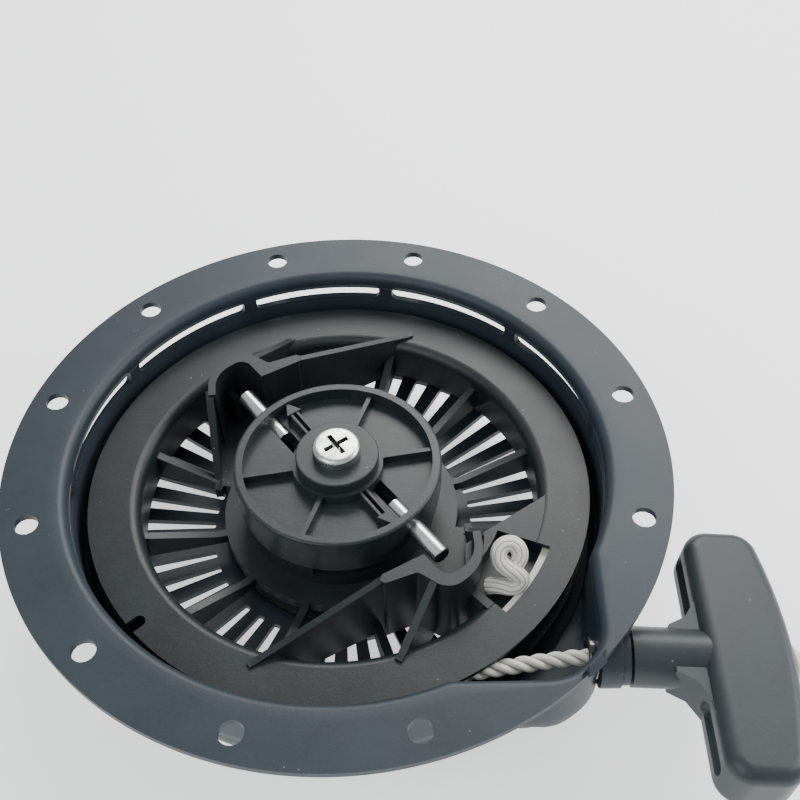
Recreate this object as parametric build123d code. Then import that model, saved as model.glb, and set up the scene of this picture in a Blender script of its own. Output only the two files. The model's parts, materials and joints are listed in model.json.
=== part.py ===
"""Recoil starter for a small engine: a bowl housing, a spoked rope pulley with two tall catcher
hooks, a disc that carries two steel drive pins, the rope and a T handle.

The origin is the centre of the mounting flange's engine-side face. +Z points to the engine and
+X is the way that the rope is pulled. All sizes are millimetres.
"""
from build123d import *
from math import acos, cos, degrees, radians, sin, sqrt, tan
import os

# ---- driving dimensions -------------------------------------------------------------------
# mounting flange and bowl of the housing
BOLT_CIRCLE_R = 100.0
BOLT_HOLE_R = 3.75
FLANGE_R = 108.6
FLANGE_T = 2.2
RIM_R = 90.4            # where the flat flange turns down into the bowl
WALL_R = 87.4           # inside of the bowl just under the rim
WALL_FOOT_R = 85.8      # inside of the bowl at its foot
WALL_T = 2.2
FLOOR_Z = -38.0
DOME_R = 38.5           # inside of the recoil spring's chamber
DOME_Z = -50.0
HOLE_STEP = 30.0
HOLE_START = 15.0
OUTLET_ANGLE = -45.0    # the rope outlet stands where a twelfth hole would be
VENT_TOP_Z = -4.0
VENT_BOTTOM_Z = -10.2
VENT_STEP = 34.0
VENT_BAR = 3.0          # degrees between two vents
VENT_START = -5.2       # middle of the first vent past the outlet
VENT_COUNT = 9
GRILLE_COUNT = 45
GRILLE_IN_R = 44.6
GRILLE_OUT_R = 74.0
GRILLE_ARC = 4.3        # degrees that one grille slot is wide

# rope, its outlet and the nozzle
ROPE_R = 2.6
PULL_Y = -65.5
PULL_Z = -15.9
WIND_Z = -18.6          # height of the upper wrap
WIND_R = 73.5           # centre line of the wound rope
GROOVE_R = 70.7
WRAPS = 2
WRAP_PITCH = 5.3
OUTLET_X = 78.75        # inner faces of the squared outlet corner
OUTLET_Y = -80.6
OUTLET_CORNER_R = 16.0
OUTLET_Z = -29.0
NOZZLE_R = 9.3
NOZZLE_TIP_R = 8.5
NOZZLE_STEP_X = 85.6
NOZZLE_END_X = 88.2

# pulley
PULLEY_TURN = 5.7       # the pulley's own angle at rest
RING_TOP_Z = -13.2
RING_BOTTOM_Z = -28.8
RING_OUT_R = 83.3
RING_IN_R = 66.2
RING_LIP_R = 3.8
FLANGE_LIP_T = 1.6
SPOKE_COUNT = 12
SPOKE_T = 2.6
SPOKE_BOTTOM_Z = -31.0
HUB_PLATE_R = 39.8
HUB_TOP_Z = -27.0
HUB_BOTTOM_Z = -31.0
CUP_R = 31.8            # outside of the pulley's hub cup
CUP_WALL = 3.0
CUP_TOP_Z = -17.4
HOOK_TOP_Z = -1.4

# centre post, pins and disc
POST_R = 7.0
RUN_FIT = 0.06          # radial play of a running fit
PIN_R = 2.95
PIN_LENGTH = 25.0
PIN_OFFSET = 5.7        # each pin's axis passes this far from the centre
PIN_REACH = 47.5        # a pin's outer end at rest, along its axis
PIN_Z = -8.0
PIN_ANGLE = 122.0 + PULLEY_TURN
PIN_TRAVEL = 14.5
DISC_SWING = 45.0       # degrees that the disc turns on the pulley to draw the pins in
PEG_R = 1.5
PEG_AT = 24.0           # a pin's peg at rest, along its axis
DISC_R = 34.2
DISC_RIM_Z = -1.5
DISC_WEB_Z = -6.0
DISC_SPLIT_Z = -11.0
DISC_BOTTOM_Z = -16.6
CAP_R = 13.6
CAP_TOP_Z = 1.9
CAP_BOTTOM_Z = -1.9
SCREW_HEAD_R = 7.9
SCREW_HEAD_H = 3.0
SCREW_WASHER_R = 7.5
SCREW_WASHER_H = 1.5

# handle
GRIP_DROOP = 6.0        # degrees that the handle hangs below the pull line
GRIP_START_X = 88.7
STEM_R = 9.1
BAR_HALF = 42.0
BAR_IN = 20.5           # from the stem's end to the finger side of the bar
BAR_END_W = 22.0
BAR_BULGE = 5.8
BAR_T = 19.4

# knot, hub and cam of the pulley
KNOT_R_IN = 55.8
KNOT_R_OUT = 73.5
KNOT_FROM = -50.0
KNOT_TO = -27.5
KNOT_CENTRE = (50.6, -40.4, -10.4)
KNOT_TURN = 62.0
BUSH_R = 8.6
BOSS_R = 11.4
BOSS_LOW_Z = -48.5
CAM_LOW_Z = -20.4

# lower half of the disc
DISC_HUB_R = 15.0
DISC_HUB_Z = -2.3

# rope, its eyelet and its seat in the handle
EYELET_R = 4.6
EYELET_COLLAR_R = 6.6
LEAVE_ANGLE = 7.0       # the rope leaves the drum this far off the pull line
KNOT_SEAT = 38.0
KNOT_BAY_R = 7.6
GRIP_OUT = BAR_IN + BAR_END_W + BAR_BULGE

# recoil spring, its anchor and its cover
ANCHOR_R = 2.0
ANCHOR_AT = 33.0
ANCHOR_ANGLE = 180.0
SPRING_IN_R = 12.4
SPRING_STEP = 1.5       # growth of the radius in half a turn
SPRING_HALF_TURNS = 12
SPRING_T = 0.6
SPRING_LOW_Z = -49.0
SPRING_HIGH_Z = -40.0
COVER_Z = -38.4

# screw
SCREW_SHANK_R = 4.0

# colours for a plain preview
BLACK = (0.05, 0.055, 0.06)
STEEL = (0.7, 0.72, 0.72)
ROPE = (0.85, 0.83, 0.76)

os.makedirs("parts", exist_ok=True)


# ---- small helpers ------------------------------------------------------------------------
def polar(r, angle):
    return (r * cos(radians(angle)), r * sin(radians(angle)))


def ring_solid(r_in, r_out, z_low, z_high):
    """A plain ring or, with no inner radius, a disc."""
    solid = extrude(Circle(r_out), z_high - z_low)
    if r_in:
        solid -= extrude(Circle(r_in), z_high - z_low)
    return Pos(0, 0, z_low) * solid


def turned(points):
    """A body of revolution about Z from (radius, z) points."""
    face = make_face(Polyline([(r, 0, z) for r, z in points], close=True))
    return revolve(face, Axis.Z)


def prism(points, z_low, z_high):
    """A straight prism over a flat outline."""
    face = make_face(Polyline([(x, y, z_low) for x, y in points], close=True))
    return extrude(face, z_high - z_low, dir=(0, 0, 1))


def rounded_prism(points, radii, z_low, z_high):
    """A straight prism over a flat outline whose corners are rounded."""
    line = FilletPolyline([(x, y, z_low) for x, y in points], radius=radii, close=True)
    return extrude(make_face(line), z_high - z_low, dir=(0, 0, 1))


def upright_plate(points, thickness):
    """A plate that stands on the X axis: points are (x, z), its middle plane is Y = 0."""
    face = make_face(Polyline([(x, 0, z) for x, z in points], close=True))
    return extrude(face, thickness / 2, dir=(0, 1, 0), both=True)


def rod_x(radius, x_start, x_end):
    """A round rod along the pull line."""
    return Pos(x_start, PULL_Y, PULL_Z) * (Rot(0, 90, 0) * extrude(Circle(radius), x_end - x_start))


def cone_x(r_start, r_end, x_start, x_end):
    """A round taper along the pull line."""
    half = (x_end - x_start) / 2
    return Pos(x_start + half, PULL_Y, PULL_Z) * (Rot(0, 90, 0) * Cone(r_start, r_end, 2 * half))


def save(name, shape, colour=None):
    shape.label = name
    if colour:
        shape.color = Color(*colour)
    export_step(shape, f"parts/{name}.step")


# ---- housing ------------------------------------------------------------------------------
def bowl_solid(grow, top_z):
    """The bowl's inside (grow = 0) or outside (grow = wall), as a body of revolution."""
    foot = 6.0
    rim = [(RIM_R + grow, top_z), (RIM_R + grow, 0)] if grow == 0 else [(WALL_R + grow, top_z)]
    flare = [] if grow else [(RIM_R - 1.6, -0.7), (WALL_R + 0.5, -2.0)]
    return turned(
        [(0, top_z)] + rim + flare
        + [(WALL_R + grow, -3.6), (WALL_FOOT_R + grow, FLOOR_Z + foot),
           (WALL_FOOT_R + grow - 1.8, FLOOR_Z + 1.8 - grow * 0.4),
           (WALL_FOOT_R + grow * 0.4 - foot, FLOOR_Z - grow), (0, FLOOR_Z - grow)]
    )


def outlet_block(grow, top_z):
    """The squared corner that the rope leaves through, inside or outside."""
    corner = OUTLET_CORNER_R + grow
    face = Pos((OUTLET_X + grow) / 2, (OUTLET_Y - grow) / 2) * Rectangle(OUTLET_X + grow, -OUTLET_Y + grow)
    block = extrude(face, top_z - OUTLET_Z + grow)
    block = fillet(block.edges().filter_by(Axis.Z).sort_by(Axis.X)[-2:].sort_by(Axis.Y)[0], corner)
    return Pos(0, 0, OUTLET_Z - grow) * block


def vents():
    """The wall vents, which leave the outlet's corner closed."""
    span = VENT_STEP - VENT_BAR
    cutter = revolve(
        Pos(0, 0, 0) * make_face(Polyline(
            [(80, 0, VENT_BOTTOM_Z), (95, 0, VENT_BOTTOM_Z), (95, 0, VENT_TOP_Z), (80, 0, VENT_TOP_Z)],
            close=True)),
        Axis.Z, span)
    cutter = Rot(0, 0, -span / 2) * cutter
    ends = [e for e in cutter.edges() if e.geom_type == GeomType.LINE and abs(e.length - 15) < 0.01]
    cutter = fillet(ends, 2.2)
    return [Rot(0, 0, VENT_START + k * VENT_STEP) * cutter for k in range(VENT_COUNT)]


def grille_slots():
    """Wedge slots in the floor, rounded at both ends and wider towards the wall."""
    half = radians(GRILLE_ARC / 2)
    outline = [(GRILLE_IN_R, -GRILLE_IN_R * half), (GRILLE_OUT_R, -GRILLE_OUT_R * half),
               (GRILLE_OUT_R, GRILLE_OUT_R * half), (GRILLE_IN_R, GRILLE_IN_R * half)]
    slot = rounded_prism(outline, 1.3, FLOOR_Z - WALL_T - 1, FLOOR_Z + 1)
    return [Rot(0, 0, OUTLET_ANGLE + k * 360 / GRILLE_COUNT) * slot for k in range(GRILLE_COUNT)]


def make_housing():
    flange = ring_solid(0, FLANGE_R, -FLANGE_T, 0)
    shell = flange + bowl_solid(WALL_T, -FLANGE_T / 2) + outlet_block(WALL_T, -FLANGE_T / 2)
    shell += ring_solid(0, DOME_R + WALL_T, DOME_Z - WALL_T, FLOOR_Z)
    nozzle = rod_x(NOZZLE_R, OUTLET_X, NOZZLE_STEP_X)
    nozzle += cone_x(NOZZLE_R, NOZZLE_TIP_R, NOZZLE_STEP_X, NOZZLE_END_X)
    shell += nozzle
    shell -= bowl_solid(0, 1)
    shell -= outlet_block(0, 1)
    shell -= ring_solid(0, DOME_R, DOME_Z, FLOOR_Z + 1)
    shell -= rod_x(EYELET_R, OUTLET_X - 5, NOZZLE_END_X + 1)
    shell -= rod_x(EYELET_COLLAR_R, OUTLET_X - 5, OUTLET_X)
    shell -= ring_solid(0, POST_R, DOME_Z - WALL_T - 1, DOME_Z)
    shell -= Pos(*polar(ANCHOR_AT, ANCHOR_ANGLE), DOME_Z - WALL_T) * extrude(Circle(ANCHOR_R), WALL_T)
    for k in range(12):
        angle = HOLE_START + k * HOLE_STEP
        if abs(angle - (OUTLET_ANGLE + 360)) < 1:
            continue
        hole = extrude(Circle(BOLT_HOLE_R), 3 * FLANGE_T)
        shell -= Pos(*polar(BOLT_CIRCLE_R, angle), -2 * FLANGE_T) * hole
    shell -= vents()
    shell -= grille_slots()
    return shell


# ---- recoil spring and its small parts ----------------------------------------------------


def spiral_edges(extra):
    """Half circles about two centres in turn, which grow into a flat spiral."""
    edges = []
    x_end, radius = -SPRING_IN_R - extra, SPRING_IN_R + extra
    for k in range(SPRING_HALF_TURNS):
        side = -1 if k % 2 == 0 else 1
        centre = x_end - side * radius
        start = (centre + side * radius, 0, SPRING_LOW_Z)
        end = (centre - side * radius, 0, SPRING_LOW_Z)
        edges.append(ThreePointArc(start, (centre, side * radius, SPRING_LOW_Z), end))
        x_end = centre - side * radius
        radius += SPRING_STEP
    return edges


def make_recoil_spring():
    inner, outer = spiral_edges(0), spiral_edges(SPRING_T)
    start = Line(inner[0] @ 0, outer[0] @ 0)
    end = Line(inner[-1] @ 1, outer[-1] @ 1)
    face = make_face(inner + outer + [start, end])
    return extrude(face, SPRING_HIGH_Z - SPRING_LOW_Z, dir=(0, 0, 1)) + make_spring_loop()


def make_spring_loop():
    """The spring's outer end, curled round the anchor pin."""
    z_span = SPRING_HIGH_Z - SPRING_LOW_Z
    loop = extrude(Circle(ANCHOR_R + 0.6) - Circle(ANCHOR_R), z_span)
    return Pos(*polar(ANCHOR_AT, ANCHOR_ANGLE), SPRING_LOW_Z) * loop


def make_spring_anchor():
    pin = Pos(0, 0, DOME_Z - WALL_T) * extrude(Circle(ANCHOR_R), WALL_T + 10)
    return Pos(*polar(ANCHOR_AT, ANCHOR_ANGLE), 0) * pin


def make_spring_cover():
    cover = ring_solid(13.5, DOME_R - 0.1, COVER_Z - 1.0, COVER_Z)
    for angle in (80, 200, 320):
        cover -= Pos(*polar(26, angle), COVER_Z - 1) * extrude(Circle(2.5), 1)
    return cover


def make_centre_post():
    post = ring_solid(0, POST_R, DOME_Z - WALL_T, CAP_BOTTOM_Z)
    post += ring_solid(0, POST_R + 2.5, DOME_Z, DOME_Z + 1.2)
    post -= ring_solid(0, SCREW_SHANK_R, -24, CAP_BOTTOM_Z)
    return chamfer(post.edges().group_by(Axis.Z)[-1].sort_by(SortBy.RADIUS)[-1], 0.5)


def make_screw_washer():
    return ring_solid(SCREW_SHANK_R, SCREW_WASHER_R, CAP_TOP_Z, CAP_TOP_Z + SCREW_WASHER_H)


def make_centre_screw():
    seat = CAP_TOP_Z + SCREW_WASHER_H
    head = Pos(0, 0, seat) * extrude(Circle(SCREW_HEAD_R), SCREW_HEAD_H)
    head = fillet(head.edges().group_by(Axis.Z)[-1], 1.6)
    top_z = seat + SCREW_HEAD_H
    for angle in (35, 125):
        blade = Pos(0, 0, top_z - 0.9) * Box(9.0, 1.7, 2.0)
        head -= Rot(0, 0, angle) * blade
    shank = ring_solid(0, SCREW_SHANK_R, -22, seat)
    return head + chamfer(shank.edges().group_by(Axis.Z)[0], 0.8)


def make_friction_cap():
    cap = ring_solid(SCREW_SHANK_R, CAP_R, CAP_BOTTOM_Z, CAP_TOP_Z)
    return fillet(cap.edges().group_by(Axis.Z)[-1].sort_by(SortBy.RADIUS)[-1], 0.5)


# ---- pulley -------------------------------------------------------------------------------
def pulley_ring():
    """The rope channel: a wall with a rounded inner lip and two thin flanges outside."""
    lip = RING_LIP_R
    inner_top = [(RING_IN_R + lip * (1 - cos(radians(a))), RING_TOP_Z - lip + lip * sin(radians(a)))
                 for a in (0, 30, 60, 90)]
    arc = ThreePointArc(*[(r, 0, z) for r, z in (inner_top[0], inner_top[2], inner_top[3])])
    rest = Polyline([(r, 0, z) for r, z in (
        inner_top[3], (RING_OUT_R, RING_TOP_Z), (RING_OUT_R, RING_TOP_Z - FLANGE_LIP_T),
        (GROOVE_R, RING_TOP_Z - FLANGE_LIP_T), (GROOVE_R, RING_BOTTOM_Z + FLANGE_LIP_T),
        (RING_OUT_R - 0.5, RING_BOTTOM_Z + FLANGE_LIP_T), (RING_OUT_R - 0.5, RING_BOTTOM_Z),
        (RING_IN_R, RING_BOTTOM_Z), inner_top[0])])
    return revolve(make_face([arc, rest]), Axis.Z)


def spoke():
    """One spoke: its top climbs from the hub plate to the ring's lip."""
    x_in, x_out = HUB_PLATE_R - 1.5, RING_IN_R + 0.5
    return upright_plate(
        [(x_in, SPOKE_BOTTOM_Z), (x_out, RING_BOTTOM_Z), (x_out, -18.5), (RING_IN_R - 1.5, -19.4),
         (HUB_PLATE_R + 3, HUB_TOP_Z), (x_in, HUB_TOP_Z)], SPOKE_T)


def hook():
    """A catcher hook: a tall wall bent like a U round the pin's end, with a thick driving leg,
    a long and a short sloping brace out to the ring, and an arm that runs down to the hub."""
    outline = [(-42.3, 33.5), (-42.3, 46.0), (-30.2, 54.2), (-21.3, 46.6), (-11.2, 49.4), (-9.6, 48.4),
               (-10.4, 46.2), (-23.8, 40.3), (-29.8, 49.9), (-39.8, 43.2), (-39.8, 33.5)]
    radii = [0, 15.0, 6.5, 1.5, 0.8, 0.5, 0.8, 0, 4.2, 11.0, 0]
    z_low = HUB_BOTTOM_Z
    wall = smooth_outline(outline, radii, z_low, HOOK_TOP_Z)
    arm = extrude(make_face(Polyline(
        [(-43.2, 35.5, HOOK_TOP_Z), (-43.2, 35.5, z_low), (-43.2, 12.0, z_low), (-43.2, 12.0, HUB_TOP_Z),
         (-43.2, 16.0, HUB_TOP_Z + 1), (-43.2, 32.5, HOOK_TOP_Z - 2)], close=True)), 2.5, dir=(1, 0, 0))
    wall += arm
    for start, end, thick in (((-10.6, 47.6), (31.6, 66.0), 2.2), ((-25.8, 50.2), (-12.8, 69.4), 2.4)):
        run = sqrt((end[0] - start[0]) ** 2 + (end[1] - start[1]) ** 2)
        lean = degrees(acos((end[0] - start[0]) / run))
        brace = upright_plate(
            [(0, z_low + 2.5), (run - 1, z_low + 2.5), (run - 1, RING_TOP_Z - 2), (run, RING_TOP_Z - 0.2),
             (run, RING_TOP_Z + 0.9), (run - 2, RING_TOP_Z + 0.9), (0, HOOK_TOP_Z - 0.2)], thick)
        wall += Pos(start[0], start[1], 0) * (Rot(0, 0, lean) * brace)
    rib = upright_plate([(54, -24), (68, -24), (68, RING_TOP_Z), (54, RING_TOP_Z)], 2.0)
    wall += Rot(0, 0, 128.6) * rib
    floor = prism([(-42.3, 12), (-42.3, 46), (-36.5, 49), (-30, 51.5), (-21.5, 46.6), (-10.4, 46.2),
                   (-10.0, 30), (-30, 20)], HUB_BOTTOM_Z, HUB_TOP_Z)
    return wall + (floor - ring_solid(0, HUB_PLATE_R - 2, HUB_BOTTOM_Z - 1, HUB_TOP_Z + 1))


def smooth_outline(points, radii, z_low, z_high):
    """A prism whose outline has its own rounding at each corner, 0 for a sharp one."""
    solid = prism(points, z_low, z_high)
    for (x, y), radius in zip(points, radii):
        if radius:
            near = [e for e in solid.edges().filter_by(Axis.Z)
                    if abs(e.center().X - x) < 0.05 and abs(e.center().Y - y) < 0.05]
            solid = fillet(near, radius)
    return solid


def sector(r_in, r_out, start, end, z_low, z_high):
    """Part of a ring between two angles."""
    face = make_face(Polyline([(r_in, 0, z_low), (r_out, 0, z_low), (r_out, 0, z_high), (r_in, 0, z_high)],
                              close=True))
    return Rot(0, 0, start) * revolve(face, Axis.Z, end - start)


def knot_pad():
    """The flat pad between ring and hook that holds the rope's knot in a pocket."""
    pad = prism([(69.3, -12.3), (45.7, -25.6), (38.3, -30.0), (36.3, -47.2), (43.4, -56.4), (52, -58), (70, -34)],
                -22.0, RING_TOP_Z)
    pad -= ring_solid(GROOVE_R - 2, 110, -60, 0)
    pad &= ring_solid(0, GROOVE_R - 1, -60, 0)
    return pad


def make_pulley():
    wheel = pulley_ring() + ring_solid(CUP_R - CUP_WALL, HUB_PLATE_R, HUB_BOTTOM_Z, HUB_TOP_Z)
    wheel += ring_solid(0, CUP_R, HUB_BOTTOM_Z, HUB_TOP_Z)
    wheel += ring_solid(CUP_R - CUP_WALL, CUP_R, HUB_TOP_Z, CUP_TOP_Z)
    wheel += ring_solid(0, BOSS_R, BOSS_LOW_Z, HUB_BOTTOM_Z)
    skipped = (4, 10)
    for k in range(SPOKE_COUNT):
        if k not in skipped:
            wheel += Rot(0, 0, 9.3 + k * 360 / SPOKE_COUNT) * spoke()
    one_hook = hook()
    wheel += one_hook
    wheel += Rot(0, 0, 180) * one_hook
    wheel += knot_pad()
    wheel -= sector(KNOT_R_IN, KNOT_R_OUT, KNOT_FROM, KNOT_TO, -19.0, RING_TOP_Z + 0.5) & ring_solid(
        0, GROOVE_R, -40, 0)
    wheel -= sector(KNOT_R_IN, KNOT_R_OUT, KNOT_FROM, KNOT_TO, RING_TOP_Z - FLANGE_LIP_T, RING_TOP_Z + 0.5)
    for start in (-110, 70):
        wheel -= sector(CUP_R - CUP_WALL - 1, CUP_R + 1, start, start + 38, -22.5, CUP_TOP_Z + 1)
    wheel -= ring_solid(0, BUSH_R, BOSS_LOW_Z - 1, HUB_TOP_Z + 1)
    wheel -= ring_solid(GROOVE_R, RING_OUT_R + 1, RING_BOTTOM_Z + FLANGE_LIP_T, RING_TOP_Z - FLANGE_LIP_T)
    wheel -= Pos(*polar(79.8, -144)) * ring_solid(0, 2.0, RING_TOP_Z - 3, RING_TOP_Z + 1)
    wheel -= Rot(0, 0, -144) * (Pos(82.5, 0, RING_TOP_Z - 1) * Box(5.4, 4.0, 4.0))
    return Rot(0, 0, PULLEY_TURN) * wheel


def make_pulley_bush():
    bush = ring_solid(POST_R + RUN_FIT, BUSH_R, BOSS_LOW_Z, HUB_TOP_Z)
    return bush + ring_solid(POST_R + RUN_FIT, BUSH_R + 2, HUB_TOP_Z, HUB_TOP_Z + 1)


def peg_place(swing):
    """Where pin A's peg stands on the pulley when the disc has turned by swing degrees."""
    along = PEG_AT - PIN_TRAVEL * swing / DISC_SWING
    ahead, aside = polar(1, PIN_ANGLE + swing), polar(1, PIN_ANGLE + swing - 90)
    return (along * ahead[0] - PIN_OFFSET * aside[0], along * ahead[1] - PIN_OFFSET * aside[1])


def make_cam_plate():
    """The plate over the hub cup, with a spiral track for each pin's peg."""
    plate = ring_solid(14.0, CUP_R - CUP_WALL, CAM_LOW_Z, CUP_TOP_Z)
    steps = 10
    for k in range(steps):
        first = peg_place(DISC_SWING * k / steps)
        second = peg_place(DISC_SWING * (k + 1) / steps)
        line = Line((*first, CAM_LOW_Z - 1), (*second, CAM_LOW_Z - 1))
        track = extrude(SlotCenterToCenter(line.length, 2 * PEG_R + 1.4), 6)
        heading = degrees(acos((second[0] - first[0]) / line.length))
        if second[1] < first[1]:
            heading = -heading
        middle = line @ 0.5
        track = Pos(middle.X, middle.Y, CAM_LOW_Z - 1) * (Rot(0, 0, heading) * track)
        plate -= track
        plate -= Rot(0, 0, 180) * track
    return plate


def make_thrust_washer():
    low = HUB_TOP_Z + 1
    return ring_solid(POST_R + 0.3, 12.5, low, low + 1)


def make_brake_spring():
    """Envelope of the coil spring that loads the disc."""
    return ring_solid(POST_R + 0.8, POST_R + 2.2, HUB_TOP_Z + 2, DISC_BOTTOM_Z - 0.35)


# ---- disc and drive pins ------------------------------------------------------------------
def pin_frame(solid):
    """Moves a pin drawn along +X at its offset to its place on the disc."""
    return Rot(0, 0, PIN_ANGLE) * (Pos(0, PIN_OFFSET, 0) * solid)


def pin_channel():
    """Room for a pin: a round-topped channel open to below."""
    reach = DISC_R + 5
    back = PIN_REACH - PIN_LENGTH - PIN_TRAVEL - 0.5
    bore = Pos(back, 0, PIN_Z) * (Rot(0, 90, 0) * extrude(Circle(PIN_R + RUN_FIT), reach - back))
    side = PIN_R + RUN_FIT
    drop = PIN_Z - DISC_SPLIT_Z + 1
    return bore + Pos((back + reach) / 2, 0, PIN_Z - drop / 2) * Box(reach - back, 2 * side, drop)


def make_disc():
    """The moulded disc: a deep rim, a recessed web with ribs and two raised arrows."""
    web_r = DISC_R - 3.0
    disc = ring_solid(0, DISC_R, DISC_SPLIT_Z, DISC_RIM_Z)
    disc = fillet(disc.edges().group_by(Axis.Z)[-1], 1.0)
    disc -= ring_solid(0, web_r, DISC_WEB_Z, 0)
    disc += ring_solid(0, DISC_HUB_R, DISC_SPLIT_Z, DISC_HUB_Z)
    for angle in (4, 65, 184, 245):
        rib = Pos(23, 0, DISC_WEB_Z + 1.4) * Box(18, 1.5, 3.2)
        disc += Rot(0, 0, angle + PULLEY_TURN) * rib
    for angle in (120, 300):
        disc += Rot(0, 0, angle + PULLEY_TURN) * disc_arrow()
    for turn in (0, 180):
        disc -= Rot(0, 0, turn) * pin_frame(pin_channel())
    disc -= ring_solid(0, POST_R + RUN_FIT, DISC_SPLIT_Z - 1, 1)
    return disc


def disc_arrow():
    """A raised arrow: two thin ridges and a triangular head."""
    z_low, z_high = DISC_WEB_Z - 0.2, DISC_WEB_Z + 3.4
    arrow = prism([(26.4, -2.7), (31.5, 0), (26.4, 2.7)], z_low, z_high + 0.4)
    for side in (-1.1, 1.1):
        arrow += Pos(20.6, side, (z_low + z_high) / 2) * Box(12.0, 0.9, z_high - z_low)
    return arrow


def make_disc_cover():
    """The lower half of the disc, which keeps the pins in and lets their pegs through."""
    cover = ring_solid(POST_R + RUN_FIT, DISC_R - 0.5, DISC_BOTTOM_Z, DISC_SPLIT_Z)
    cover = chamfer(cover.edges().group_by(Axis.Z)[0].sort_by(SortBy.RADIUS)[-1], 0.6)
    slot_length = PIN_TRAVEL
    slot = extrude(SlotCenterToCenter(slot_length, 2 * PEG_R + 0.3), 8)
    slot = Pos(PEG_AT - slot_length / 2, 0, DISC_BOTTOM_Z - 1) * slot
    for turn in (0, 180):
        cover -= Rot(0, 0, turn) * pin_frame(slot)
    return cover


def make_drive_pin():
    """A round steel pin with a peg below that follows the cam track."""
    pin = Pos(PIN_REACH - PIN_LENGTH, 0, PIN_Z) * (Rot(0, 90, 0) * extrude(Circle(PIN_R), PIN_LENGTH))
    pin = chamfer(pin.edges().group_by(Axis.X)[-1], 0.4)
    peg = Pos(PEG_AT, 0, CAM_LOW_Z + 0.4) * extrude(Circle(PEG_R), PIN_Z - CAM_LOW_Z - 0.4)
    return pin_frame(pin + peg)


# ---- rope ---------------------------------------------------------------------------------
def make_rope_coil():
    """The wound turns, as the plain outer shape that they fill in the groove."""
    z_high = WIND_Z + ROPE_R
    z_low = z_high - 2 * ROPE_R - (WRAPS - 1) * WRAP_PITCH
    return turned([(WIND_R - ROPE_R, z_low), (WIND_R + ROPE_R - 1.2, z_low), (WIND_R + ROPE_R, z_low + 1.6),
                   (WIND_R + ROPE_R, z_high - 1.6), (WIND_R + ROPE_R - 1.2, z_high), (WIND_R - ROPE_R, z_high)])


def make_rope_run():
    """From just clear of the coil to the nozzle's mouth."""
    tangent = Vector(WIND_R * sin(radians(LEAVE_ANGLE)), -WIND_R * cos(radians(LEAVE_ANGLE)), WIND_Z)
    ahead = Vector(cos(radians(LEAVE_ANGLE)), sin(radians(LEAVE_ANGLE)), 0)
    clear = sqrt((WIND_R + ROPE_R + 0.5) ** 2 - (WIND_R - ROPE_R) ** 2)
    start = tangent + ahead * clear
    bend = tangent + ahead * ((PULL_Y - tangent.Y) / ahead.Y)
    bend = Vector(bend.X, bend.Y, PULL_Z)
    end = Vector(NOZZLE_END_X, PULL_Y, PULL_Z)
    radius = 0.45 * (end - bend).length / tan(radians(LEAVE_ANGLE) / 2)
    path = FilletPolyline([start, bend, end], radius=radius)
    section = Plane(origin=start, z_dir=bend - start) * Circle(ROPE_R)
    rope = sweep(section, path=path)
    print(f"rope run: length {path.length:.1f}, bend radius {radius:.0f}, "
          f"volume ratio {rope.volume / (path.length * 3.14159265 * ROPE_R ** 2):.4f}")
    return rope


def make_pulley_knot():
    """Plain body of the knot that sits in the pad's pocket."""
    body = Pos(*KNOT_CENTRE) * (Rot(0, 0, KNOT_TURN) * scale(Sphere(1), by=(9.8, 6.6, 7.6)))
    return Rot(0, 0, PULLEY_TURN) * body


def make_rope_eyelet():
    """The hard ring and sleeve that the rope slides through."""
    collar = rod_x(EYELET_COLLAR_R, OUTLET_X - 3.0, OUTLET_X) + rod_x(EYELET_R, OUTLET_X, NOZZLE_END_X - 0.4)
    collar = fillet(collar.edges().group_by(Axis.X)[0], 0.8)
    collar -= rod_x(ROPE_R + 0.35, OUTLET_X - 4, NOZZLE_END_X + 1)
    return collar - cone_x(4.8, ROPE_R + 0.35, OUTLET_X - 3.0, OUTLET_X + 1.2)


# ---- handle -------------------------------------------------------------------------------
def grip_place(solid):
    """Puts a handle part drawn along +X from the origin onto the hanging handle's axis."""
    return Pos(GRIP_START_X, PULL_Y, PULL_Z) * (Rot(0, GRIP_DROOP, 0) * solid)


def make_handle_grip():
    """A T handle: round stem, flared root, and a bar with a bowed outer side."""
    inner, outer = BAR_IN, BAR_IN + BAR_END_W
    edge = [Line((inner, -BAR_HALF), (inner, BAR_HALF)), Line((inner, BAR_HALF), (outer, BAR_HALF)),
            ThreePointArc((outer, BAR_HALF), (outer + BAR_BULGE, 0), (outer, -BAR_HALF)),
            Line((outer, -BAR_HALF), (inner, -BAR_HALF))]
    bar = Pos(0, 0, -BAR_T / 2) * extrude(make_face(edge), BAR_T)
    bar = fillet(bar.edges().filter_by(Axis.Z), 8.0)
    bar = fillet(bar.edges().group_by(Axis.Z)[-1] + bar.edges().group_by(Axis.Z)[0], 4.5)
    stem = Pos(-4, 0, 0) * (Rot(0, 90, 0) * extrude(Circle(STEM_R), inner + 8))
    grip = bar + stem
    for side in (1, -1):
        web = prism([(inner - 9, side * STEM_R * 0.86), (inner - 3.5, side * (STEM_R + 1.6)),
                     (inner + 0.5, side * (STEM_R + 8)), (inner + 2, side * 2), (inner - 9, side * 2)],
                    -6.5, 6.5)
        grip += web
        flute = Pos(inner - 1.6, side * 25.5, 0) * (Rot(90, 0, 0) * extrude(Circle(3.4), 11, both=True))
        flute = fillet(flute.edges(), 2.6)
        grip -= flute
    bore_length = GRIP_OUT + 10
    grip -= Pos(-5, 0, 0) * (Rot(0, 90, 0) * extrude(Circle(ROPE_R + 0.3), bore_length))
    grip -= Pos(KNOT_SEAT, 0, 0) * (Rot(0, 90, 0) * extrude(Circle(KNOT_BAY_R), bore_length))
    grip = grip_place(grip)
    return grip - Pos(GRIP_START_X - 10, PULL_Y, PULL_Z) * Box(20, 60, 60)


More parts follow.
